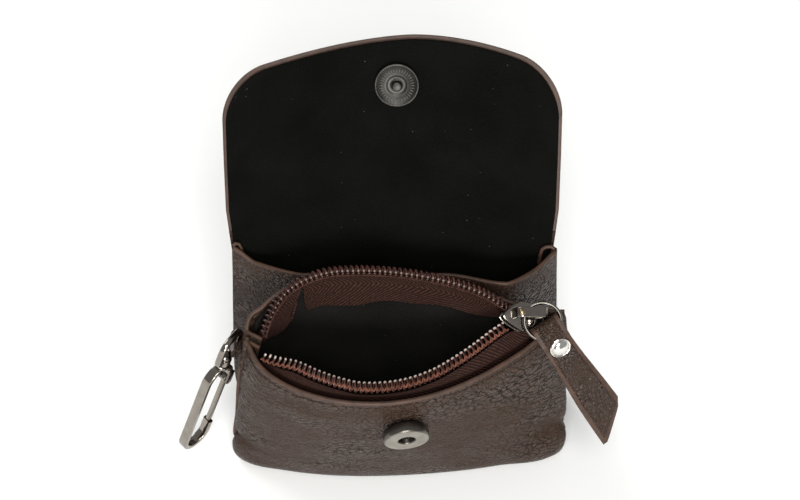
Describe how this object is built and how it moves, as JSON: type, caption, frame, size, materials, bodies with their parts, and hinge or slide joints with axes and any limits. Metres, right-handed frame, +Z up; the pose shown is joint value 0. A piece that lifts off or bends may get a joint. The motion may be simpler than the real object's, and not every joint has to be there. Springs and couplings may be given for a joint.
{
  "type": "mini wallet",
  "caption": "Small soft leather wallet standing open: flap with a magnetic snap, rear pocket, open zip pocket with a strap pull, and a swivel clasp at its side.",
  "frame": {"origin": "on the table under the wallet, in the middle of the back panel's width", "axes": "+X to the wallet's right as seen from the front, +Y towards its back, +Z up"},
  "size_m": [0.141, 0.0844, 0.1352],
  "materials": {
    "leather": "satin",
    "lining": "matte",
    "tape": "matte",
    "coil": "satin",
    "gunmetal": "polished",
    "nickel": "polished"
  },
  "bodies": {
    "wallet": {"back_flap": "leather", "flap_lining": "lining", "rear_wall": "leather", "zip_back": "leather", "zip_front": "leather", "zip_lining_back": "lining", "zip_lining_front": "lining", "zip_tape_back": "tape", "zip_tape_front": "tape", "zip_coil_back": "coil", "zip_coil_front": "coil", "zip_slider": "gunmetal", "pull_ring": "gunmetal", "pull_tab": "leather", "pull_rivet": "nickel", "snap_stud": "gunmetal", "snap_socket": "gunmetal", "clasp_loop": "leather", "clasp_eye": "gunmetal"},
    "hook": {"clasp_hook": "gunmetal"},
    "gate": {"clasp_gate": "gunmetal"}
  },
  "joints": [
    {"name": "hook_swivel", "type": "hinge", "parent": "wallet", "child": "hook", "pos_m": [-0.05333, -0.01063, 0.05089], "axis": [-0.3, -0.044, -0.9529], "continuous": true},
    {"name": "gate_hinge", "type": "hinge", "parent": "hook", "child": "gate", "pos_m": [-0.05391, -0.00759, 0.03792], "axis": [-0.7068, 0.6812, 0.191], "range_deg": [0, 19], "stiffness_Nm_per_rad": 0.002}
  ]
}
